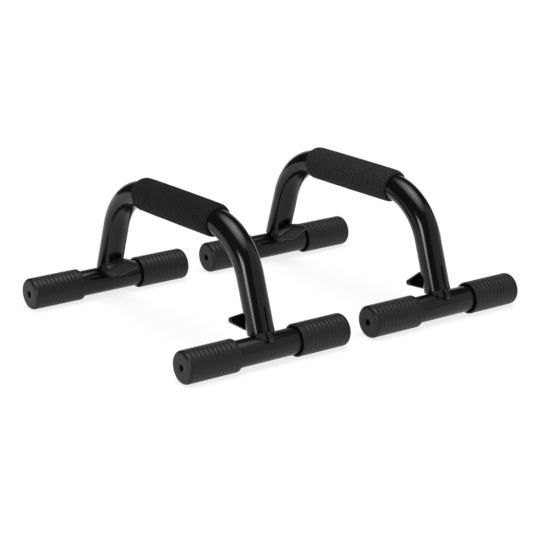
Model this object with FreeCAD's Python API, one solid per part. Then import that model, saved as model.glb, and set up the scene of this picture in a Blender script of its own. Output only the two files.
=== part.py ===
import FreeCAD, Part
import math
import os

# A pair of push-up bars. Each bar is a steel tube bent into an arch, with a foam grip on top, and
# stands on two cross feet. A spigot on each foot slides into the leg, and a wing knob clamps it.
# Millimetres, +Z up, X along the handles, origin on the floor in the middle of the pair.

Vector = FreeCAD.Vector
Rotation = FreeCAD.Rotation
Placement = FreeCAD.Placement

# Pair, with the clear gap between the feet of its two bars
feet_gap = 31.4
cut_overrun = 5.0

# Bent handle tube, in all the steel tube that the bars are made of
tube_radius = 12.7
tube_wall = 1.5
handle_height = 118.7
foot_reach = 132.4
leg_lean_deg = 18.0
bend_radius = 61.3
leg_seat_gap = 0.3
slit_width = 2.0
slit_length = 24.5

# Foam grip, which covers the straight of the handle and runs a little way onto the bends
grip_overrun = 8.0
grip_wall = 3.1
grip_clearance = 0.3
grip_end_round = 2.8

# Foot tube and its end caps
foot_length = 180.0
cap_length = 55.5
cap_wall = 2.8
cap_end_wall = 4.0
cap_fit = 0.05
cap_hole_radius = 3.1
cap_edge_round = 3.2
cap_mouth_round = 1.0
groove_count = 10
groove_width = 3.0
groove_depth = 0.3
groove_start = 6.7
groove_stop = 7.4

# Spigot and locating key
spigot_top = 45.0
spigot_fit = 0.08
key_width = 5.0
key_bottom = 4.0
key_rise = 1.6
key_proud = 0.7
key_toe = 2.8
key_toe_height = 8.0
key_clearance = 0.3

# Clamp: threaded boss on the leg, stud and wing knob
clamp_height = 25.6
nut_radius = 6.5
nut_height = 2.4
nut_chamfer = 0.6
stud_radius = 3.0
stud_fit = 0.05
stud_tip_gap = 0.25
stud_tip_chamfer = 0.7
stud_head_radius = 4.4
stud_head_length = 3.0
knob_gap = 1.2
knob_length = 38.0
knob_width = 18.0
knob_depth = 7.4
knob_slope = 1.0
knob_skin = 1.6
knob_rim = 1.6
knob_recess = 1.4
knob_tip_radius = 3.3
knob_waist_radius = 4.0
knob_edge_round = 1.9

# How far each wing has been turned when its thread is tight, about the clamp axis, as (bar, end)
knob_turn_deg = {
    ("left", "front"): -15.0,
    ("left", "rear"): 2.0,
    ("right", "front"): -2.0,
    ("right", "rear"): -8.5,
}

# Sizes that follow from the ones above
leg_lean = math.radians(leg_lean_deg)
bar_spacing = foot_length + feet_gap
bore_radius = tube_radius - tube_wall
spigot_radius = bore_radius - spigot_fit
cap_bore = tube_radius + cap_fit
cap_radius = cap_bore + cap_wall
grip_bore = tube_radius + grip_clearance
grip_radius = grip_bore + grip_wall
foot_height = cap_radius
leg_end = tube_radius + leg_seat_gap
key_top = leg_end + key_rise
leg_corner = foot_reach - (handle_height - foot_height) * math.tan(leg_lean)
bend_x = leg_corner - bend_radius * math.tan((math.pi / 2 - leg_lean) / 2)
bend_z = handle_height - bend_radius
grip_turn = grip_overrun / bend_radius
groove_pitch = (cap_length - groove_start - groove_stop) / (groove_count - 1)
nut_face = tube_radius + nut_height
knob_back = nut_face + knob_gap
knob_face = knob_back + knob_depth
stud_end = knob_face - knob_skin

X_AXIS = Vector(1, 0, 0)
Y_AXIS = Vector(0, 1, 0)
Z_AXIS = Vector(0, 0, 1)
ORIGIN = Vector(0, 0, 0)

# The leg frame has its origin on the foot's axis, Z up along the leg, X outwards and Y along the foot
leg_frame = Placement(Vector(foot_reach, 0, foot_height), Rotation(Y_AXIS, -leg_lean_deg))
half_turn = Placement(ORIGIN, Rotation(Z_AXIS, 180))


def rod_along_y(radius, length):
    """Solid rod centred on the foot's axis."""
    return Part.makeCylinder(radius, length, Vector(0, -length / 2, 0), Y_AXIS)


def clamp_rod(radius, start, end):
    """Solid rod on the clamp axis, between two distances from the leg's axis, on its inner side."""
    return Part.makeCylinder(radius, end - start, Vector(-start, 0, clamp_height), -X_AXIS)


def revolved(edges, axis):
    return Part.Face(Part.Wire(edges)).revolve(ORIGIN, axis, 360)


def placed(shape, end, offset):
    """A piece from the leg frame, put at one end of one bar."""
    shape.Placement = leg_frame.multiply(shape.Placement)
    if end == "rear":
        shape.Placement = half_turn.multiply(shape.Placement)
    shape.translate(Vector(0, offset, 0))
    return shape


def line(start, end):
    return Part.LineSegment(start, end).toShape()


def arc(start, through, end):
    return Part.Arc(start, through, end).toShape()


def on_bend(turn, side):
    """Point on the middle line of one bend, so far round it from the straight."""
    across = bend_x + bend_radius * math.sin(turn)
    return Vector(side * across, 0, bend_z + bend_radius * math.cos(turn))


def top_edges(turn):
    """Middle line of the handle's straight with so much of the bend at either end."""
    edges = [arc(on_bend(turn, -1), on_bend(turn / 2, -1), on_bend(0, -1))]
    edges.append(line(on_bend(0, -1), on_bend(0, 1)))
    edges.append(arc(on_bend(0, 1), on_bend(turn / 2, 1), on_bend(turn, 1)))
    return edges


def arch_wire():
    """Middle line of the handle tube: leg, bend, straight top, bend, leg."""
    turn = math.pi / 2 - leg_lean

    def leg_point(side):
        across = foot_reach - leg_end * math.sin(leg_lean)
        return Vector(side * across, 0, foot_height + leg_end * math.cos(leg_lean))

    rear_leg = line(leg_point(-1), on_bend(turn, -1))
    front_leg = line(on_bend(turn, 1), leg_point(1))
    return Part.Wire([rear_leg] + top_edges(turn) + [front_leg])


def swept_round(path, radius):
    """Round section carried along a path."""
    first = path.OrderedEdges[0]
    start = first.valueAt(first.FirstParameter)
    along = first.tangentAt(first.FirstParameter)
    section = Part.Wire([Part.makeCircle(radius, start, along)])
    return path.makePipeShell([section], True, False)


def leg_cuts():
    """What is cut from one leg: the notch for the key, the slit above it and the hole for the stud."""
    width = key_width + 2 * key_clearance
    depth = tube_radius + cut_overrun
    notch = Part.makeBox(depth, width, key_top + key_clearance, Vector(0, -width / 2, 0))
    slit = Part.makeBox(depth, slit_width, leg_end + slit_length, Vector(0, -slit_width / 2, 0))
    return notch.fuse([slit, clamp_rod(stud_radius + stud_fit, 0, depth)])


def handle_tube():
    path = arch_wire()
    tube = swept_round(path, tube_radius).cut(swept_round(path, bore_radius))
    for end in ("front", "rear"):
        tube = tube.cut(placed(leg_cuts(), end, 0))
    return tube


def foam_grip():
    """Sleeve that follows the top of the handle, with the outer edges of its ends rounded over."""
    path = Part.Wire(top_edges(grip_turn))
    sleeve = swept_round(path, grip_radius)
    end_faces = [face for face in sleeve.Faces if isinstance(face.Surface, Part.Plane)]
    rims = [edge for face in end_faces for edge in face.OuterWire.Edges]
    sleeve = sleeve.makeFillet(grip_end_round, rims)
    return sleeve.cut(swept_round(path, grip_bore))


def foot_tube():
    length = foot_length - 2 * cap_end_wall
    return rod_along_y(tube_radius, length).cut(rod_along_y(bore_radius, length))


def spigot():
    """Stub tube, shaped at its lower end to the foot tube that it is welded to."""
    outside = Part.makeCylinder(spigot_radius, spigot_top)
    inside = Part.makeCylinder(spigot_radius - tube_wall, spigot_top)
    return outside.cut(inside).cut(rod_along_y(tube_radius, foot_length))


def locating_key():
    """Lug in the corner between spigot and foot tube, on the outer side, with its top in the notch."""
    def at(reach, height):
        return Vector(reach, -key_width / 2, height)

    outside = tube_radius + key_proud
    corners = [at(0, key_bottom), at(0, key_top), at(outside, key_top)]
    corners += [at(outside + key_toe, key_toe_height), at(outside, key_bottom), at(0, key_bottom)]
    block = Part.Face(Part.makePolygon(corners)).extrude(Vector(0, key_width, 0))
    block = block.cut(Part.makeCylinder(spigot_radius, spigot_top))
    return block.cut(rod_along_y(tube_radius, foot_length))


def end_cap(side):
    """Ribbed cup on one end of the foot tube, turned from its half section."""
    def at(along, radius):
        return Vector(0, side * (foot_length / 2 - along), radius)

    bulge_share = 1 - math.sqrt(0.5)
    mouth = cap_length - cap_mouth_round
    edges = [line(at(0, cap_hole_radius), at(0, cap_radius - cap_edge_round))]
    bulge = cap_edge_round * bulge_share
    edges.append(arc(at(0, cap_radius - cap_edge_round), at(bulge, cap_radius - bulge),
                     at(cap_edge_round, cap_radius)))
    reached = cap_edge_round
    for number in range(groove_count):
        middle = groove_start + number * groove_pitch
        edges.append(line(at(reached, cap_radius), at(middle - groove_width / 2, cap_radius)))
        reached = middle + groove_width / 2
        edges.append(arc(at(middle - groove_width / 2, cap_radius),
                         at(middle, cap_radius - groove_depth), at(reached, cap_radius)))
    edges.append(line(at(reached, cap_radius), at(mouth, cap_radius)))
    bulge = cap_mouth_round * bulge_share
    edges.append(arc(at(mouth, cap_radius), at(cap_length - bulge, cap_radius - bulge),
                     at(cap_length, cap_radius - cap_mouth_round)))
    edges.append(line(at(cap_length, cap_radius - cap_mouth_round), at(cap_length, cap_bore)))
    edges.append(line(at(cap_length, cap_bore), at(cap_end_wall, cap_bore)))
    edges.append(line(at(cap_end_wall, cap_bore), at(cap_end_wall, cap_hole_radius)))
    edges.append(line(at(cap_end_wall, cap_hole_radius), at(0, cap_hole_radius)))
    return revolved(edges, Y_AXIS)


def clamp_nut():
    """Round boss, shaped to the leg that it is welded to, with the thread's bore through it."""
    boss = clamp_rod(nut_radius, 0, nut_face - nut_chamfer)
    taper = Part.makeCone(nut_radius, nut_radius - nut_chamfer, nut_chamfer,
                          Vector(nut_chamfer - nut_face, 0, clamp_height), -X_AXIS)
    boss = boss.fuse(taper).removeSplitter()
    boss = boss.cut(Part.makeCylinder(tube_radius, clamp_height + nut_radius + cut_overrun))
    return boss.cut(clamp_rod(stud_radius + stud_fit, 0, nut_face + cut_overrun))


def clamp_stud():
    """Stud with a chamfered tip towards the spigot and a round head in the knob."""
    tip = spigot_radius + stud_tip_gap
    point = Part.makeCone(stud_radius - stud_tip_chamfer, stud_radius, stud_tip_chamfer,
                          Vector(-tip, 0, clamp_height), -X_AXIS)
    shank = clamp_rod(stud_radius, tip + stud_tip_chamfer, stud_end)
    head = clamp_rod(stud_head_radius, stud_end - stud_head_length, stud_end)
    return point.fuse([shank, head]).removeSplitter()


def wing_outline(inset, distance):
    """Diamond with rounded tips and waist, drawn in by an inset, so far from the leg's axis."""
    tip_radius = knob_tip_radius - inset
    waist_radius = knob_waist_radius - inset
    tip = knob_length / 2 - knob_tip_radius
    waist = knob_width / 2 - knob_waist_radius
    slope = math.atan2(tip, waist) - math.asin((tip_radius - waist_radius) / math.hypot(tip, waist))

    def round_point(centre_y, centre_z, radius, angle):
        rise = clamp_height + centre_z + radius * math.sin(angle)
        return Vector(-distance, centre_y + radius * math.cos(angle), rise)

    quarter = math.pi / 2
    edges = []
    for side in (1, -1):
        turn = 0 if side == 1 else math.pi
        tip_start = round_point(side * tip, 0, tip_radius, turn - slope)
        tip_middle = round_point(side * tip, 0, tip_radius, turn)
        tip_end = round_point(side * tip, 0, tip_radius, turn + slope)
        waist_start = round_point(0, side * waist, waist_radius, turn + slope)
        waist_middle = round_point(0, side * waist, waist_radius, turn + quarter)
        waist_end = round_point(0, side * waist, waist_radius, turn + math.pi - slope)
        next_tip = round_point(-side * tip, 0, tip_radius, turn + math.pi - slope)
        edges.append(arc(tip_start, tip_middle, tip_end))
        edges.append(line(tip_end, waist_start))
        edges.append(arc(waist_start, waist_middle, waist_end))
        edges.append(line(waist_end, next_tip))
    return Part.Wire(edges)


def wing_knob(turn_deg):
    """Diamond with sloped sides and a shallow recess towards the leg, moulded round the stud's head."""
    outlines = [wing_outline(0, knob_back), wing_outline(knob_slope, knob_face)]
    body = Part.makeLoft(outlines, True, True)
    rim = [edge for edge in body.Edges if edge.BoundBox.XMax < -knob_face + knob_edge_round]
    body = body.makeFillet(knob_edge_round, rim)
    recess = Part.Face(wing_outline(knob_rim, knob_back - cut_overrun))
    body = body.cut(recess.extrude(Vector(-cut_overrun - knob_recess, 0, 0)))
    head_start = stud_end - stud_head_length - stud_fit
    body = body.cut(clamp_rod(stud_head_radius + stud_fit, head_start, stud_end + stud_fit))
    body = body.cut(clamp_rod(stud_radius + stud_fit, knob_back - cut_overrun, stud_end))
    body.rotate(Vector(0, 0, clamp_height), -X_AXIS, -turn_deg)
    return body


def save(shape, node):
    shape.exportStep("parts/" + node + ".step")


os.makedirs("parts", exist_ok=True)

for bar, bar_side in (("left", -1), ("right", 1)):
    offset = bar_side * bar_spacing / 2
    for node, shape in (("handle_tube", handle_tube()), ("foam_grip", foam_grip())):
        shape.translate(Vector(0, offset, 0))
        save(shape, bar + "_" + node)
    for end, end_side in (("front", 1), ("rear", -1)):
        pieces = {
            "foot_tube": foot_tube(),
            "spigot": spigot(),
            "locating_key": locating_key(),
            "cap_outer": end_cap(bar_side * end_side),
            "cap_inner": end_cap(-bar_side * end_side),
            "clamp_nut": clamp_nut(),
            "clamp_stud": clamp_stud(),
            "wing_knob": wing_knob(knob_turn_deg[bar, end]),
        }
        for node, shape in pieces.items():
            save(placed(shape, end, offset), bar + "_" + end + "_" + node)
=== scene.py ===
from math import asin, atan2, cos, hypot, pi, radians, sin, sqrt, tan

import bmesh
import bpy
from mathutils import Matrix, Vector


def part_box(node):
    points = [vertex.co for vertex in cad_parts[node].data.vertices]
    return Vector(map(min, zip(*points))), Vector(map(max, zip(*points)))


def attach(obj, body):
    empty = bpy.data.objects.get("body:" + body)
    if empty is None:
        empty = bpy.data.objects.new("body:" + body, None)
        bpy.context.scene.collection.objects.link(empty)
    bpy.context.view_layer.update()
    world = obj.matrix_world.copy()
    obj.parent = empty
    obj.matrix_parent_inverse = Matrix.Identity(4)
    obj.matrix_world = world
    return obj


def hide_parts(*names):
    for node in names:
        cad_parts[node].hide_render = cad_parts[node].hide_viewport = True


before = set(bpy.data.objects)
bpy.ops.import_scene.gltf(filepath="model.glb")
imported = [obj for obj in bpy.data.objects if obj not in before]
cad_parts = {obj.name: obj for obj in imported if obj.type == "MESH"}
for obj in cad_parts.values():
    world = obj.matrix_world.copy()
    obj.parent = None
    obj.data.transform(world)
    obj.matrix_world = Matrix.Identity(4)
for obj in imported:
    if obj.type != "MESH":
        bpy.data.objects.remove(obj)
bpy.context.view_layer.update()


# Each handle is one-inch steel tube, bent cold into an arch and enamelled gloss black all over.
# Its legs are cut off square. A notch in the outer side of each cut fits over the foot's key, and a
# sawn slit runs up from it, so that the clamp can draw the leg tight.

BARS = ("left", "right")
ENDS = ("front", "rear")
TUBE_RADIUS = 0.0127
TUBE_WALL = 0.0015
TUBE_SIDES = 84
HANDLE_HEIGHT = 0.1187
LEG_LEAN = radians(18)
LEG_END = 0.0130
BEND_RADIUS = 0.0613
BEND_STEPS = 36
NOTCH_TOP = 0.0149
NOTCH_WIDTH = 0.0056
SLIT_TOP = 0.0375
SLIT_WIDTH = 0.0020
CUT_EDGE_ROUND = 0.0003
MERGE_DISTANCE = 0.000001
ENAMEL_BLACK = (0.0025, 0.0025, 0.0027)
ENAMEL_BLOOM = (0.0060, 0.0060, 0.0063)
ORANGE_PEEL = 0.0022
ORANGE_PEEL_DEPTH = 0.00012
HAZE_PATCH = 0.030
DUST_SPECK = 0.0006
HANDLE_GLOSS = 0.88


def node_middle(node):
    low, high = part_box(node)
    return (low + high) / 2


foot_middle = node_middle("right_front_foot_tube")


def at_bar(bar):
    """Where a bar stands: its middle, on the floor."""
    return Matrix.Translation((0, node_middle(bar + "_foam_grip").y, 0))


def at_leg(bar, end):
    """A leg's own frame: from the foot's axis, Z runs up the leg, X outwards and Y along the foot."""
    facing = Matrix.Rotation(ENDS.index(end) * pi, 4, "Z")
    foot = Matrix.Translation((foot_middle.x, 0, foot_middle.z))
    return at_bar(bar) @ facing @ foot @ Matrix.Rotation(-LEG_LEAN, 4, "Y")


def begin(primitive, **settings):
    """Adds a primitive as a new piece, with its place in its mesh, all selected in edit mode."""
    bpy.ops.object.select_all(action="DESELECT")
    primitive(**settings)
    bpy.ops.object.transform_apply()
    bpy.ops.object.mode_set(mode="EDIT")
    bpy.ops.mesh.select_mode(type="VERT")
    bpy.ops.mesh.select_all(action="SELECT")
    return bpy.context.object


def extrude(offset):
    bpy.ops.mesh.extrude_region_move(TRANSFORM_OT_translate={"value": tuple(offset)})


def select_faces(piece, wanted):
    """In edit mode, selects just the faces whose middle and normal pass a test."""
    bpy.ops.mesh.select_mode(type="FACE")
    shape = bmesh.from_edit_mesh(piece.data)
    for face in shape.faces:
        face.select_set(wanted(face.calc_center_median(), face.normal))
    bmesh.update_edit_mesh(piece.data)


def close_skin():
    """Leaves edit mode with seams and poles merged and all faces turned outwards."""
    bpy.ops.mesh.select_mode(type="VERT")
    bpy.ops.mesh.select_all(action="SELECT")
    bpy.ops.mesh.remove_doubles(threshold=MERGE_DISTANCE)
    bpy.ops.mesh.normals_make_consistent(inside=False)
    bpy.ops.object.mode_set(mode="OBJECT")


def apply_modifier(piece, kind, **settings):
    modifier = piece.modifiers.new(kind.title(), kind)
    for name, value in settings.items():
        setattr(modifier, name, value)
    bpy.context.view_layer.objects.active = piece
    bpy.ops.object.modifier_apply(modifier=modifier.name)


def ease_edges(piece, width, segments, sharp=40):
    """Rounds the sharp edges of a finished mesh and shades the rest smooth."""
    apply_modifier(piece, "BEVEL", width=width, segments=segments, limit_method="ANGLE",
                   angle_limit=radians(sharp), use_clamp_overlap=True)
    smooth(piece)


def smooth(piece, sharp=35):
    bpy.ops.object.select_all(action="DESELECT")
    piece.select_set(True)
    bpy.context.view_layer.objects.active = piece
    bpy.ops.object.shade_smooth_by_angle(angle=radians(sharp))


def fit(pattern, name, place, body, node, material):
    """Copies a modelled piece to its place, with its own mesh, in the stead of its plain solid."""
    mesh = pattern.data.copy()
    mesh.transform(place)
    mesh.materials.clear()
    mesh.materials.append(material)
    piece = bpy.data.objects.new(name, mesh)
    bpy.context.scene.collection.objects.link(piece)
    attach(piece, body)
    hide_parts(node)
    return piece


class Shade:
    """A shader socket: sums on it add Math nodes, and node() adds any other kind of node."""

    def __init__(self, tree, socket=None):
        self.tree = tree
        self.socket = socket

    def node(self, kind, settings, sockets, output=0):
        made = self.tree.nodes.new("ShaderNode" + kind)
        for name, value in settings.items():
            setattr(made, name, value)
        self.fill(made, sockets)
        return Shade(self.tree, made.outputs[output])

    def fill(self, made, sockets):
        for name, value in sockets.items():
            if isinstance(value, Shade):
                self.tree.links.new(value.socket, made.inputs[name])
            else:
                made.inputs[name].default_value = value

    def math(self, operation, first, second):
        return self.node("Math", {"operation": operation}, {0: first, 1: second})

    def __add__(self, other):
        return self.math("ADD", self, other)

    def __radd__(self, other):
        return self.math("ADD", other, self)

    def __sub__(self, other):
        return self.math("SUBTRACT", self, other)

    def __rsub__(self, other):
        return self.math("SUBTRACT", other, self)

    def __mul__(self, other):
        return self.math("MULTIPLY", self, other)

    def __rmul__(self, other):
        return self.math("MULTIPLY", other, self)

    def step(self, low, high):
        """0 below low, 1 above high, and an even ramp between them."""
        sockets = {"Value": self, "From Min": low, "From Max": high}
        return self.node("MapRange", {"clamp": True}, sockets)

    def tint(self, dark, light):
        """Two colours mixed by this value."""
        sockets = {0: self, 6: (*dark, 1), 7: (*light, 1)}
        return self.node("Mix", {"data_type": "RGBA"}, sockets, 2)

    def bump(self, strength, depth):
        """A surface normal tilted by this value, as if its lumps were as high as depth, in metres."""
        return self.node("Bump", {}, {"Height": self, "Strength": strength, "Distance": depth})

    def noise(self, place, size, detail=2.0, roughness=0.5):
        """Soft noise from 0 to 1 whose lumps are about as large as size, in metres."""
        sockets = {"Vector": place, "Scale": 1 / size, "Detail": detail, "Roughness": roughness}
        return self.node("TexNoise", {}, sockets)


def new_finish(name, constants):
    """A material, a Shade to hang its nodes on, and its surface shader, with the values set that
    are the same all over."""
    material = bpy.data.materials.new(name)
    material.use_nodes = True
    surface = material.node_tree.nodes["Principled BSDF"]
    shade = Shade(material.node_tree)
    shade.fill(surface, constants)
    return material, shade, surface


def enamel(name, gloss):
    """Black stove enamel: faint orange peel, a little handling haze and specks of dust."""
    material, shade, surface = new_finish(name, {"IOR": 1.45, "Specular IOR Level": 0.3})
    place = shade.node("TexCoord", {}, {}, "Object")
    peel = shade.noise(place, ORANGE_PEEL, detail=1.0)
    haze = shade.noise(place, HAZE_PATCH, detail=5.0, roughness=0.62)
    dust = shade.noise(place, DUST_SPECK, detail=0.0).step(0.74, 0.82) * haze.step(0.45, 0.75)
    shade.fill(surface, {
        "Base Color": (0.6 * haze + 0.4 * dust).tint(ENAMEL_BLACK, ENAMEL_BLOOM),
        "Roughness": (1 - gloss) + 0.06 * haze + 0.25 * dust,
        "Normal": peel.bump(0.10, ORANGE_PEEL_DEPTH),
    })
    return material


lean_up = Vector((-sin(LEG_LEAN), 0, cos(LEG_LEAN)))
lean_down = Vector((-sin(LEG_LEAN), 0, -cos(LEG_LEAN)))
bend_turn = pi / 2 - LEG_LEAN
bend_cut = BEND_RADIUS * tan(bend_turn / 2)
leg_rise = HANDLE_HEIGHT - foot_middle.z
leg_to_bend = leg_rise / cos(LEG_LEAN) - bend_cut
bend_x = foot_middle.x - leg_rise * tan(LEG_LEAN) - bend_cut
bend_z = HANDLE_HEIGHT - BEND_RADIUS
front_foot = Vector((foot_middle.x, 0, foot_middle.z))

handle = begin(bpy.ops.mesh.primitive_circle_add, vertices=TUBE_SIDES, radius=TUBE_RADIUS,
               location=front_foot + lean_up * LEG_END, rotation=(0, -LEG_LEAN, 0))
extrude(lean_up * (NOTCH_TOP - LEG_END))
extrude(lean_up * (SLIT_TOP - NOTCH_TOP))
extrude(lean_up * (leg_to_bend - SLIT_TOP))
bpy.ops.mesh.spin(steps=BEND_STEPS, angle=bend_turn, center=(bend_x, 0, bend_z), axis=(0, 1, 0))
extrude((-2 * bend_x, 0, 0))
bpy.ops.mesh.spin(steps=BEND_STEPS, angle=bend_turn, center=(-bend_x, 0, bend_z), axis=(0, 1, 0))
extrude(lean_down * (leg_to_bend - SLIT_TOP))
extrude(lean_down * (SLIT_TOP - NOTCH_TOP))
extrude(lean_down * (NOTCH_TOP - LEG_END))


def cut_away(middle, normal):
    """Whether a face lies in the notch of a leg or in the slit above it."""
    height = (Vector((abs(middle.x), middle.y, middle.z)) - front_foot).dot(lean_up)
    width = NOTCH_WIDTH if height < NOTCH_TOP else SLIT_WIDTH
    return height < SLIT_TOP and abs(middle.y) < width / 2 and normal.z > 0


bpy.ops.mesh.select_all(action="SELECT")
bpy.ops.mesh.normals_make_consistent(inside=False)
select_faces(handle, cut_away)
bpy.ops.mesh.delete(type="FACE")
close_skin()
apply_modifier(handle, "SOLIDIFY", thickness=TUBE_WALL, offset=-1)
ease_edges(handle, CUT_EDGE_ROUND, segments=2)

gloss_enamel = enamel("gloss_enamel", HANDLE_GLOSS)
for bar in BARS:
    fit(handle, bar + "_arch", at_bar(bar), bar + "_bar", bar + "_handle_tube",
        gloss_enamel)
bpy.data.objects.remove(handle)


# The grip is a sleeve of black closed-cell foam, cut from extruded hose and pushed over the handle.
# Its cut ends roll in to the tube, and its skin has the fine open grain of ground foam.

GRIP_BORE = 0.0130
GRIP_WALL = 0.0031
GRIP_CROWN = 0.0002
GRIP_OVERRUN = 0.0080
GRIP_ROLL = 0.0055
GRIP_SIDES = 120
GRIP_RINGS = 84
ROLL_RINGS = 10
FOAM_LUMP = 0.016
FOAM_LUMP_HEIGHT = 0.00022
FOAM_GRAIN = 0.0011
FOAM_GRAIN_HEIGHT = 0.00016
FOAM_CELL = 0.0011
FOAM_SPECKLE = 0.0017
FOAM_PATCH = 0.018
FOAM_PIT_DEPTH = 0.0004
FOAM_PIT = (0.0020, 0.0020, 0.0021)
FOAM_FACE = (0.0300, 0.0300, 0.0308)
# Painted shade and painted light: the foam colour is scaled by the first share on the left sleeve and by
# the second on the right.
LEFT_PAINTED_SHADE_SHARE = 0.28
RIGHT_PAINTED_LIGHT_SHARE = 0.92
BETWEEN_SLEEVES = 0.05


def trace(points):
    """Draws a line through points, as a new piece in edit mode."""
    first, *rest = points
    piece = begin(bpy.ops.mesh.primitive_plane_add, size=1)
    bpy.ops.mesh.merge(type="CENTER")
    bpy.ops.transform.translate(value=first)
    for point, following in zip(points, rest):
        extrude(Vector(following) - Vector(point))
    bpy.ops.mesh.select_all(action="SELECT")
    return piece


def turned(outline, sides):
    """Spins an outline of (radius, along) points round the Z axis, as on a lathe."""
    piece = trace([(radius, 0, along) for radius, along in outline])
    bpy.ops.mesh.spin(steps=sides, angle=2 * pi, center=(0, 0, 0), axis=(0, 0, 1))
    close_skin()
    return piece


grip_half = bend_x + GRIP_OVERRUN
grip_shoulder = grip_half - GRIP_ROLL


def rolled_end(share):
    """A point of the rolled end, from the tube's skin at 0 to the sleeve's side at 1."""
    angle = share * pi / 2
    return GRIP_BORE + GRIP_WALL * sin(angle), GRIP_ROLL * cos(angle)


def sleeve_outline():
    for ring in range(ROLL_RINGS):
        radius, along = rolled_end(ring / ROLL_RINGS)
        yield radius, -grip_shoulder - along
    for ring in range(GRIP_RINGS + 1):
        along = grip_shoulder * (2 * ring / GRIP_RINGS - 1)
        yield GRIP_BORE + GRIP_WALL + GRIP_CROWN * (1 - (along / grip_shoulder) ** 2), along
    for ring in reversed(range(ROLL_RINGS)):
        radius, along = rolled_end(ring / ROLL_RINGS)
        yield radius, grip_shoulder + along


def round_bends(point):
    """Where a point of the straight sleeve, standing on end, comes to lie on the handle."""
    straight = max(-bend_x, min(bend_x, point.z))
    turn = (point.z - straight) / BEND_RADIUS
    outwards = BEND_RADIUS + point.x
    return Vector((straight + outwards * sin(turn), -point.y, bend_z + outwards * cos(turn)))


def roughen(piece, size, height):
    """Lifts and sinks a skin by soft noise."""
    lumps = bpy.data.textures.new("foam_lumps", "CLOUDS")
    lumps.noise_scale = size
    apply_modifier(piece, "DISPLACE", texture=lumps, strength=height, mid_level=0.5)


def foam():
    """Ground foam: pits that swallow light between soft paler grains, and a felt-like sheen. Its colour
    carries painted shade on the left sleeve and painted light on the right: it is scaled down on the
    left and up on the right, for how the light falls on the two sleeves."""
    constants = {"IOR": 1.4, "Specular IOR Level": 0.2}
    material, shade, surface = new_finish("grip_foam", constants)
    place = shade.node("TexCoord", {}, {}, "Object")
    # Painted light: a ramp across the gap between the bars, 0 at the left sleeve and 1 at the right.
    sideways = shade.node("SeparateXYZ", {}, {"Vector": place}, "Y")
    painted_light_side = sideways.step(-BETWEEN_SLEEVES, BETWEEN_SLEEVES)
    cells = shade.node("TexVoronoi", {}, {"Vector": place, "Scale": 1 / FOAM_CELL})
    grain = shade.noise(place, FOAM_SPECKLE, roughness=0.7)
    patches = shade.noise(place, FOAM_PATCH, detail=3.0)
    # Painted shade on the left sleeve and painted light on the right, scaling the foam colour for how
    # the light falls on each.
    painted_light_share = LEFT_PAINTED_SHADE_SHARE + (RIGHT_PAINTED_LIGHT_SHARE - LEFT_PAINTED_SHADE_SHARE) * painted_light_side
    face = cells.step(0.15, 0.75) * 0.35 + grain.step(0.33, 0.67) * 0.65
    shade.fill(surface, {
        "Base Color": (face * painted_light_share * (0.75 + 0.5 * patches)).tint(FOAM_PIT, FOAM_FACE),
        "Roughness": 0.98 - 0.16 * face,
        "Normal": face.bump(0.8, FOAM_PIT_DEPTH),
    })
    return material


grip = turned(list(sleeve_outline()), GRIP_SIDES)
for point in grip.data.vertices:
    point.co = round_bends(point.co)
roughen(grip, FOAM_LUMP, FOAM_LUMP_HEIGHT)
roughen(grip, FOAM_GRAIN, FOAM_GRAIN_HEIGHT)
bpy.ops.object.mode_set(mode="EDIT")
bpy.ops.mesh.select_mode(type="EDGE")
bpy.ops.mesh.select_all(action="DESELECT")
bpy.ops.mesh.select_non_manifold()
bpy.ops.mesh.bridge_edge_loops()
close_skin()
smooth(grip, sharp=80)

grip_foam = foam()
for bar in BARS:
    sleeve = fit(grip, bar + "_sleeve", at_bar(bar), bar + "_bar", bar + "_foam_grip",
                 grip_foam)
bpy.data.objects.remove(grip)


# The clamp nut is a round threaded boss of turned steel, welded on the inner side of each leg.
# It is enamelled together with the handle.

CLAMP_HEIGHT = 0.0256
NUT_RADIUS = 0.0065
NUT_FACE = 0.0151
NUT_CHAMFER = 0.0006
NUT_EDGE_ROUND = 0.0002
STUD_BORE = 0.00305
SMALL_SIDES = 64


def at_clamp(bar, end):
    """The clamp's own frame: Z points from the leg's axis out through the knob, X up the leg."""
    clamp = Matrix.Translation((0, 0, CLAMP_HEIGHT))
    return at_leg(bar, end) @ clamp @ Matrix.Rotation(-pi / 2, 4, "Y")


def cut_round(piece, radius, length, middle, turn):
    """Cuts a round hole or seat through a piece."""
    cutter = begin(bpy.ops.mesh.primitive_cylinder_add, vertices=TUBE_SIDES, radius=radius,
                   depth=length, location=middle, rotation=turn)
    close_skin()
    apply_modifier(piece, "BOOLEAN", object=cutter, operation="DIFFERENCE", solver="EXACT")
    bpy.data.objects.remove(cutter)


nut = turned([
    (STUD_BORE, 0),
    (NUT_RADIUS, 0),
    (NUT_RADIUS, NUT_FACE - NUT_CHAMFER),
    (NUT_RADIUS - NUT_CHAMFER, NUT_FACE),
    (STUD_BORE, NUT_FACE),
    (STUD_BORE, 0),
], SMALL_SIDES)
cut_round(nut, TUBE_RADIUS, 4 * NUT_RADIUS, (0, 0, 0), (0, pi / 2, 0))
ease_edges(nut, NUT_EDGE_ROUND, segments=2)
for bar in BARS:
    for end in ENDS:
        stem = bar + "_" + end
        fit(nut, stem + "_boss", at_clamp(bar, end), bar + "_bar", stem + "_clamp_nut",
            gloss_enamel)
bpy.data.objects.remove(nut)


# The foot is a straight length of the same steel tube, lying across under each leg.
# It is enamelled a little less glossy than the handle.

CAP_END_WALL = 0.0040
FOOT_GLOSS = 0.84

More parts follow.
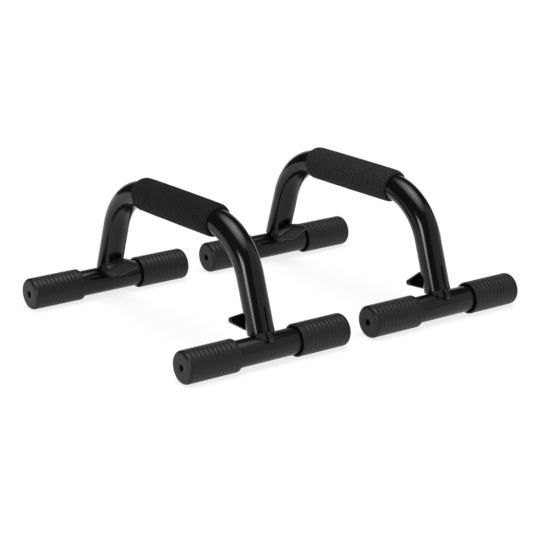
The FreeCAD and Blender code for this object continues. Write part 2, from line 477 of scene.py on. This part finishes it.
foot_low, foot_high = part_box("right_front_foot_tube")
foot_length = foot_high.y - foot_low.y
foot = begin(bpy.ops.mesh.primitive_circle_add, vertices=TUBE_SIDES, radius=TUBE_RADIUS,
             location=(0, -foot_length / 2, 0), rotation=(pi / 2, 0, 0))
extrude((0, foot_length, 0))
close_skin()
apply_modifier(foot, "SOLIDIFY", thickness=TUBE_WALL, offset=-1)
ease_edges(foot, CUT_EDGE_ROUND, segments=2)

satin_enamel = enamel("satin_enamel", FOOT_GLOSS)
for bar in BARS:
    for end in ENDS:
        stem = bar + "_" + end
        fit(foot, stem + "_cross_tube", at_leg(bar, end), stem + "_foot", stem + "_foot_tube",
            satin_enamel)
bpy.data.objects.remove(foot)


# The spigot is a stub of narrower steel tube that plugs into the leg. Its lower end is cut to the
# round of the foot and welded on, with a bead in the two open corners, and enamelled with it.

SPIGOT_RADIUS = 0.01112
SPIGOT_TOP = 0.0450
SPIGOT_EDGE_ROUND = 0.0004
BEAD_RADIUS = 0.0010
BEAD_STEPS = 192
BEAD_SIDES = 12
BEAD_RIPPLES = 28
BEAD_RIPPLE_SHARE = 0.10
BEAD_LEAST_SHARE = 0.10

spigot = begin(bpy.ops.mesh.primitive_circle_add, vertices=TUBE_SIDES, radius=SPIGOT_RADIUS)
extrude((0, 0, SPIGOT_TOP))
close_skin()
apply_modifier(spigot, "SOLIDIFY", thickness=TUBE_WALL, offset=-1)
cut_round(spigot, TUBE_RADIUS, 4 * SPIGOT_RADIUS, (0, 0, 0), (pi / 2, 0, 0))
ease_edges(spigot, SPIGOT_EDGE_ROUND, segments=2)

bead = begin(bpy.ops.mesh.primitive_torus_add, major_radius=SPIGOT_RADIUS, minor_radius=BEAD_RADIUS,
             major_segments=BEAD_STEPS, minor_segments=BEAD_SIDES)
close_skin()
for point in bead.data.vertices:
    turn = atan2(point.co.y, point.co.x)
    line = Vector((SPIGOT_RADIUS * cos(turn), SPIGOT_RADIUS * sin(turn), 0))
    ripple = 1 - BEAD_RIPPLE_SHARE + BEAD_RIPPLE_SHARE * cos(BEAD_RIPPLES * turn)
    size = max(BEAD_LEAST_SHARE, cos(turn) ** 2 * ripple)
    saddle = sqrt(TUBE_RADIUS ** 2 - line.x ** 2)
    point.co = line + (point.co - line) * size + Vector((0, 0, saddle))
smooth(bead, sharp=80)

for bar in BARS:
    for end in ENDS:
        stem = bar + "_" + end
        fit(spigot, stem + "_stub", at_leg(bar, end), stem + "_foot", stem + "_spigot",
            gloss_enamel)
        fit(bead, stem + "_weld", at_leg(bar, end), stem + "_foot", stem + "_spigot",
            gloss_enamel)
bpy.data.objects.remove(spigot)
bpy.data.objects.remove(bead)


# The key is a small steel lug in the outer corner between spigot and foot, welded and enamelled
# with them. The notch in the leg drops over its top, so that the foot can't twist on the leg.

KEY_WIDTH = 0.0050
KEY_BOTTOM = 0.0040
KEY_TOP = 0.0146
KEY_FACE = 0.0134
KEY_TOE = 0.0162
KEY_TOE_HEIGHT = 0.0080
KEY_EDGE_ROUND = 0.0013
KEY_ROUND_STEPS = 5

key_corners = ((0, KEY_BOTTOM), (0, KEY_TOP), (KEY_FACE, KEY_TOP), (KEY_TOE, KEY_TOE_HEIGHT),
               (KEY_FACE, KEY_BOTTOM))
key = trace([(reach, -KEY_WIDTH / 2, height) for reach, height in key_corners])
bpy.ops.mesh.edge_face_add()
extrude((0, KEY_WIDTH, 0))
bpy.ops.mesh.select_all(action="SELECT")
bpy.ops.mesh.normals_make_consistent(inside=False)
bpy.ops.mesh.bevel(offset=KEY_EDGE_ROUND, segments=KEY_ROUND_STEPS, affect="EDGES")
close_skin()
cut_round(key, SPIGOT_RADIUS, 4 * KEY_TOP, (0, 0, 0), (0, 0, 0))
cut_round(key, TUBE_RADIUS, 4 * KEY_WIDTH, (0, 0, 0), (pi / 2, 0, 0))
smooth(key)
for bar in BARS:
    for end in ENDS:
        stem = bar + "_" + end
        fit(key, stem + "_key_block", at_leg(bar, end), stem + "_foot", stem + "_locating_key",
            gloss_enamel)
bpy.data.objects.remove(key)


# The end caps are moulded in soft black plastic and pushed over the ends of the foot tube.
# Shallow grooves run round each, and a vent in its end lets the air out as it goes on.

CAP_LENGTH = 0.0555
CAP_RADIUS = 0.01555
CAP_BORE = 0.01275
CAP_HOLE = 0.0031
CAP_HOLE_ROUND = 0.0005
CAP_EDGE_ROUND = 0.0032
CAP_MOUTH_ROUND = 0.0005
CAP_LIP = 0.0016
CAP_FLARE = 0.0030
CAP_SIDES = 112
ROUND_STEPS = 7
GROOVES = 10
GROOVE_START = 0.0067
GROOVE_PITCH = 0.0046
GROOVE_WIDTH = 0.0030
GROOVE_DEPTH = 0.00020
GROOVE_STEPS = 12
CAP_PIT = 0.00045
CAP_PIT_DEPTH = 0.00010
CAP_FLOW = 0.012
CAP_DARK = (0.0048, 0.0048, 0.0050)
CAP_PALE = (0.0112, 0.0112, 0.0115)


def rounded_corner(radius, along, size, start, turn):
    """Points of a quarter round about a centre, from one angle on by a quarter turn."""
    for step in range(ROUND_STEPS + 1):
        angle = start + turn * pi / 2 * step / ROUND_STEPS
        yield radius + size * cos(angle), along + size * sin(angle)


def cap_outline():
    """Half section of a cap, from its bore round its end and along its side to its mouth."""
    yield CAP_RADIUS - CAP_LIP, CAP_LENGTH
    yield CAP_BORE, CAP_LENGTH - CAP_FLARE
    yield CAP_BORE, CAP_END_WALL
    yield CAP_HOLE, CAP_END_WALL
    yield from rounded_corner(CAP_HOLE + CAP_HOLE_ROUND, CAP_HOLE_ROUND, CAP_HOLE_ROUND, pi, 1)
    yield from rounded_corner(CAP_RADIUS - CAP_EDGE_ROUND, CAP_EDGE_ROUND, CAP_EDGE_ROUND, -pi / 2, 1)
    for groove in range(GROOVES):
        middle = GROOVE_START + groove * GROOVE_PITCH
        for step in range(GROOVE_STEPS + 1):
            share = 2 * step / GROOVE_STEPS - 1
            yield CAP_RADIUS - GROOVE_DEPTH * cos(share * pi / 2) ** 2, middle + share * GROOVE_WIDTH / 2
    yield from rounded_corner(CAP_RADIUS - CAP_MOUTH_ROUND, CAP_LENGTH - CAP_MOUTH_ROUND,
                              CAP_MOUTH_ROUND, 0, 1)
    yield CAP_RADIUS - CAP_LIP, CAP_LENGTH


def soft_plastic():
    """Moulded soft plastic: dull, finely pitted, a little paler where handling has rubbed it."""
    constants = {"IOR": 1.47, "Specular IOR Level": 0.23}
    material, shade, surface = new_finish("cap_plastic", constants)
    place = shade.node("TexCoord", {}, {}, "Object")
    pits = shade.noise(place, CAP_PIT, roughness=0.6)
    flow = shade.noise(place, CAP_FLOW, detail=4.0, roughness=0.55)
    shade.fill(surface, {
        "Base Color": (0.65 * flow + 0.35 * pits).tint(CAP_DARK, CAP_PALE),
        "Roughness": 0.34 + 0.14 * flow - 0.06 * pits,
        "Normal": pits.bump(0.30, CAP_PIT_DEPTH),
    })
    return material


cap = turned(list(cap_outline()), CAP_SIDES)
smooth(cap, sharp=50)
cap_plastic = soft_plastic()
for bar in BARS:
    for end in ENDS:
        for which in ("outer", "inner"):
            node = bar + "_" + end + "_cap_" + which
            side = 1 if node_middle(node).y > at_leg(bar, end).translation.y else -1
            facing = 1 if end == "front" else -1
            reach = Matrix.Translation((0, side * facing * (foot_length / 2 + CAP_END_WALL), 0))
            inwards = Matrix.Rotation(side * facing * pi / 2, 4, "X")
            fit(cap, bar + "_" + end + "_" + which + "_ferrule", at_leg(bar, end) @ reach @ inwards,
                bar + "_" + end + "_foot", node, cap_plastic)
bpy.data.objects.remove(cap)


# The stud is a zinc-plated steel screw. Its point presses on the spigot, and its round head is
# moulded into the knob.

STUD_RADIUS = 0.0030
STUD_POINT = 0.01137
STUD_CHAMFER = 0.0007
STUD_END = 0.0221
STUD_HEAD_RADIUS = 0.0044
STUD_HEAD = 0.0030
THREAD_PITCH = 0.0010
THREAD_DEPTH = 0.00030
STUD_EDGE_ROUND = 0.00008
ZINC_PATCH = 0.0025
ZINC_SCRATCH = 0.0003
ZINC_SCRATCH_DEPTH = 0.00005
ZINC_DULL = (0.36, 0.36, 0.35)
ZINC_BRIGHT = (0.62, 0.62, 0.60)


def zinc_plate():
    """Plated steel: bright, faintly brushed, with dull patches."""
    material, shade, surface = new_finish("zinc_steel", {"Metallic": 1.0})
    place = shade.node("TexCoord", {}, {}, "Object")
    patches = shade.noise(place, ZINC_PATCH, detail=4.0)
    scratches = shade.noise(place, ZINC_SCRATCH, detail=1.0)
    shade.fill(surface, {
        "Base Color": patches.tint(ZINC_DULL, ZINC_BRIGHT),
        "Roughness": 0.26 + 0.20 * patches,
        "Normal": scratches.bump(0.15, ZINC_SCRATCH_DEPTH),
    })
    return material


def stud_outline():
    yield 0, STUD_POINT
    yield STUD_RADIUS - STUD_CHAMFER, STUD_POINT
    along = STUD_POINT + STUD_CHAMFER
    head_start = STUD_END - STUD_HEAD
    while along + THREAD_PITCH < head_start:
        yield STUD_RADIUS, along
        yield STUD_RADIUS - THREAD_DEPTH, along + THREAD_PITCH / 2
        along += THREAD_PITCH
    yield STUD_RADIUS, along
    yield STUD_RADIUS, head_start
    yield STUD_HEAD_RADIUS, head_start
    yield STUD_HEAD_RADIUS, STUD_END
    yield 0, STUD_END


stud = turned(list(stud_outline()), SMALL_SIDES)
ease_edges(stud, STUD_EDGE_ROUND, segments=1, sharp=70)
zinc_steel = zinc_plate()
for bar in BARS:
    for end in ENDS:
        stem = bar + "_" + end
        fit(stud, stem + "_screw", at_clamp(bar, end), stem + "_stud", stem + "_clamp_stud",
            zinc_steel)
bpy.data.objects.remove(stud)


# The wing knob is a diamond moulded in hard black plastic round the stud's head, with sloped sides
# and a shallow recess behind. Fingers turn it by its two wings until its thread is tight.

KNOB_BACK = 0.0163
KNOB_FACE = 0.0237
KNOB_LENGTH = 0.0380
KNOB_WIDTH = 0.0180
KNOB_TIP_RADIUS = 0.0033
KNOB_WAIST_RADIUS = 0.0040
KNOB_SLOPE = 0.0010
KNOB_RIM = 0.0016
KNOB_RECESS = 0.0014
KNOB_EDGE_ROUND = 0.0019
KNOB_ROUND_STEPS = 8
KNOB_BACK_ROUND = 0.00025
WING_STEPS = 12
KNOB_TURN = {
    "left_front": radians(-15),
    "left_rear": radians(2),
    "right_front": radians(-2),
    "right_rear": radians(-8.5),
}
KNOB_SKIN_GRAIN = 0.00035
KNOB_SKIN_DEPTH = 0.00008
KNOB_FLOW = 0.008
KNOB_DARK = (0.0063, 0.0063, 0.0066)
KNOB_PALE = (0.0126, 0.0126, 0.0130)

tip_centre = KNOB_LENGTH / 2 - KNOB_TIP_RADIUS
waist_centre = KNOB_WIDTH / 2 - KNOB_WAIST_RADIUS
round_slope = asin((KNOB_WAIST_RADIUS - KNOB_TIP_RADIUS) / hypot(tip_centre, waist_centre))
side_angle = atan2(waist_centre, tip_centre) + round_slope


def wing_outline():
    """The diamond's waist, tip, other waist and other tip, each a round between two straight sides."""
    waist = (waist_centre, KNOB_WAIST_RADIUS, side_angle)
    tip = (tip_centre, KNOB_TIP_RADIUS, pi / 2 - side_angle)
    for corner, (centre, radius, half_round) in enumerate((waist, tip, waist, tip)):
        middle = corner * pi / 2
        for step in range(WING_STEPS + 1):
            angle = middle + half_round * (2 * step / WING_STEPS - 1)
            across = centre * cos(middle) + radius * cos(angle)
            yield across, centre * sin(middle) + radius * sin(angle), KNOB_BACK


def hard_plastic():
    """Moulded hard plastic with a fine spark-eroded skin."""
    constants = {"IOR": 1.5, "Specular IOR Level": 0.14}
    material, shade, surface = new_finish("knob_plastic", constants)
    place = shade.node("TexCoord", {}, {}, "Object")
    grain = shade.noise(place, KNOB_SKIN_GRAIN, roughness=0.65)
    flow = shade.noise(place, KNOB_FLOW, detail=4.0)
    shade.fill(surface, {
        "Base Color": (0.7 * flow + 0.3 * grain).tint(KNOB_DARK, KNOB_PALE),
        "Roughness": 0.20 + 0.12 * flow,
        "Normal": grain.bump(0.25, KNOB_SKIN_DEPTH),
    })
    return material


knob = trace(list(wing_outline()))
bpy.ops.mesh.edge_face_add()
extrude((0, 0, KNOB_FACE - KNOB_BACK))
bpy.ops.transform.resize(value=(1 - 2 * KNOB_SLOPE / KNOB_WIDTH, 1 - 2 * KNOB_SLOPE / KNOB_LENGTH, 1))
select_faces(knob, lambda middle, normal: middle.z > KNOB_FACE - KNOB_EDGE_ROUND)
bpy.ops.mesh.bevel(offset=KNOB_EDGE_ROUND, segments=KNOB_ROUND_STEPS, affect="EDGES")
bpy.ops.mesh.select_all(action="SELECT")
bpy.ops.mesh.normals_make_consistent(inside=False)
select_faces(knob, lambda middle, normal: normal.z < -0.9)
bpy.ops.mesh.inset(thickness=KNOB_RIM)
extrude((0, 0, KNOB_RECESS))
close_skin()
ease_edges(knob, KNOB_BACK_ROUND, segments=2)
cut_round(knob, STUD_BORE, 2 * (STUD_END - KNOB_BACK), (0, 0, KNOB_BACK), (0, 0, 0))
smooth(knob)

knob_plastic = hard_plastic()
for bar in BARS:
    for end in ENDS:
        stem = bar + "_" + end
        turn = Matrix.Rotation(-KNOB_TURN[stem], 4, "Z")
        fit(knob, stem + "_wing", at_clamp(bar, end) @ turn, stem + "_knob", stem + "_wing_knob",
            knob_plastic)
bpy.data.objects.remove(knob)


# The studio is a wide white floor under a broad overhead light, with a tall soft box to the left of
# the camera, a pale wall on its right and a white backdrop. The room is dark elsewhere.

CAMERA_TARGET = Vector((0.0564, -0.0421, 0.0588))
CAMERA_AZIMUTH = 53.29
CAMERA_ELEVATION = 16.98
CAMERA_DISTANCE = 1.8174
CAMERA_LENS = 128.29
CAMERA_FAR = 50
FLOOR_SIZE = 16
FLOOR_CUTS = 3
FLOOR_WHITE = (0.90, 0.90, 0.90)
FLOOR_PALE = (0.92, 0.92, 0.92)
FLOOR_GRAIN = 0.002
FLOOR_GLOW_SHARE = 0.8
MIRRORED_GLOW_SHARE = 0.6
OVERHEAD_LIGHT = 9.5
OVERHEAD_TURN = 80
OVERHEAD_ELEVATION = 87
OVERHEAD_SPREAD = 0.61
SIDE_WALL_LIGHT = 0.72
SIDE_WALL_TURN = 74
SIDE_WALL_EDGE = (0.54, 0.63)
BACKDROP_LIGHT = 0.6
BACKDROP_EDGE = (0.85, 0.91)
DARK_ROOM_LIGHT = 0.03
SOFT_BOX_LIGHT = 13.5
SOFT_BOX_TURN = -39
SOFT_BOX_ELEVATION = 12
SOFT_BOX_DISTANCE = 1.6
SOFT_BOX_WIDTH = 0.50
SOFT_BOX_HEIGHT = 0.72


def direction(azimuth, elevation):
    """From the middle of the scene: azimuth 0 points to -Y and 90 to +X, in degrees."""
    turn, rise = radians(azimuth), radians(elevation)
    return Vector((sin(turn) * cos(rise), -cos(turn) * cos(rise), sin(rise)))


def aim(piece, azimuth, elevation, distance):
    """Puts a lamp or camera that far out in a direction, facing the middle of the view."""
    outwards = direction(azimuth, elevation)
    piece.location = CAMERA_TARGET + outwards * distance
    piece.rotation_mode = "QUATERNION"
    piece.rotation_quaternion = (-outwards).to_track_quat("-Z", "Y")
    bpy.context.scene.collection.objects.link(piece)


def white_floor():
    """Matt white that keeps shadows, lifted to plain white for the camera and for reflections."""
    material, shade, surface = new_finish("white_floor", {"Roughness": 0.9, "Specular IOR Level": 0.0})
    place = shade.node("TexCoord", {}, {}, "Object")
    paper = shade.noise(place, FLOOR_GRAIN, detail=3.0)
    shade.fill(surface, {"Base Color": paper.tint(FLOOR_WHITE, FLOOR_PALE)})
    seen = shade.node("LightPath", {}, {}, "Is Camera Ray")
    mirrored = shade.node("LightPath", {}, {}, "Is Glossy Ray")
    passed = shade.node("LightPath", {}, {}, "Is Transmission Ray")
    glow = shade.node("Emission", {}, {"Strength": 1.0})
    lit = Shade(shade.tree, surface.outputs[0])
    factor = FLOOR_GLOW_SHARE * seen + MIRRORED_GLOW_SHARE * (mirrored + passed)
    mixed = shade.node("MixShader", {}, {0: factor, 1: lit, 2: glow})
    shade.fill(material.node_tree.nodes["Material Output"], {"Surface": mixed})
    return material


floor = begin(bpy.ops.mesh.primitive_plane_add, size=FLOOR_SIZE)
bpy.ops.mesh.subdivide(number_cuts=FLOOR_CUTS)
close_skin()
floor.name = "floor"
floor.data.materials.append(white_floor())

world = bpy.data.worlds.new("studio")
world.use_nodes = True
bpy.context.scene.world = world
dome = Shade(world.node_tree)
look = dome.node("TexCoord", {}, {}, "Generated")


def towards(azimuth, elevation):
    """How far a ray into the room looks a given way: 1 straight at it, and -1 straight away."""
    aimed = tuple(direction(azimuth, elevation))
    return dome.node("VectorMath", {"operation": "DOT_PRODUCT"}, {0: look, 1: aimed}, "Value")


side_wall = towards(CAMERA_AZIMUTH + SIDE_WALL_TURN, 0).step(*SIDE_WALL_EDGE)
backdrop = towards(CAMERA_AZIMUTH + 180, 0).step(*BACKDROP_EDGE)
room_light = DARK_ROOM_LIGHT + SIDE_WALL_LIGHT * side_wall + BACKDROP_LIGHT * backdrop
roof = towards(CAMERA_AZIMUTH + OVERHEAD_TURN, OVERHEAD_ELEVATION)
overhead = dome.math("ARCCOSINE", roof, 0).step(OVERHEAD_SPREAD, 0)
dome.fill(world.node_tree.nodes["Background"], {
    "Color": (1, 1, 1, 1),
    "Strength": room_light + OVERHEAD_LIGHT * overhead,
})

lamp = bpy.data.lights.new("key_box", "AREA")
lamp.shape = "RECTANGLE"
lamp.size = SOFT_BOX_WIDTH
lamp.size_y = SOFT_BOX_HEIGHT
lamp.energy = pi * SOFT_BOX_WIDTH * SOFT_BOX_HEIGHT * SOFT_BOX_LIGHT
aim(bpy.data.objects.new("key_box", lamp), CAMERA_AZIMUTH + SOFT_BOX_TURN, SOFT_BOX_ELEVATION,
    SOFT_BOX_DISTANCE)

camera = bpy.data.objects.new("camera", bpy.data.cameras.new("camera"))
camera.data.lens = CAMERA_LENS
camera.data.clip_end = CAMERA_FAR
aim(camera, CAMERA_AZIMUTH, CAMERA_ELEVATION, CAMERA_DISTANCE)
bpy.context.scene.camera = camera
bpy.context.scene.view_settings.view_transform = "Standard"
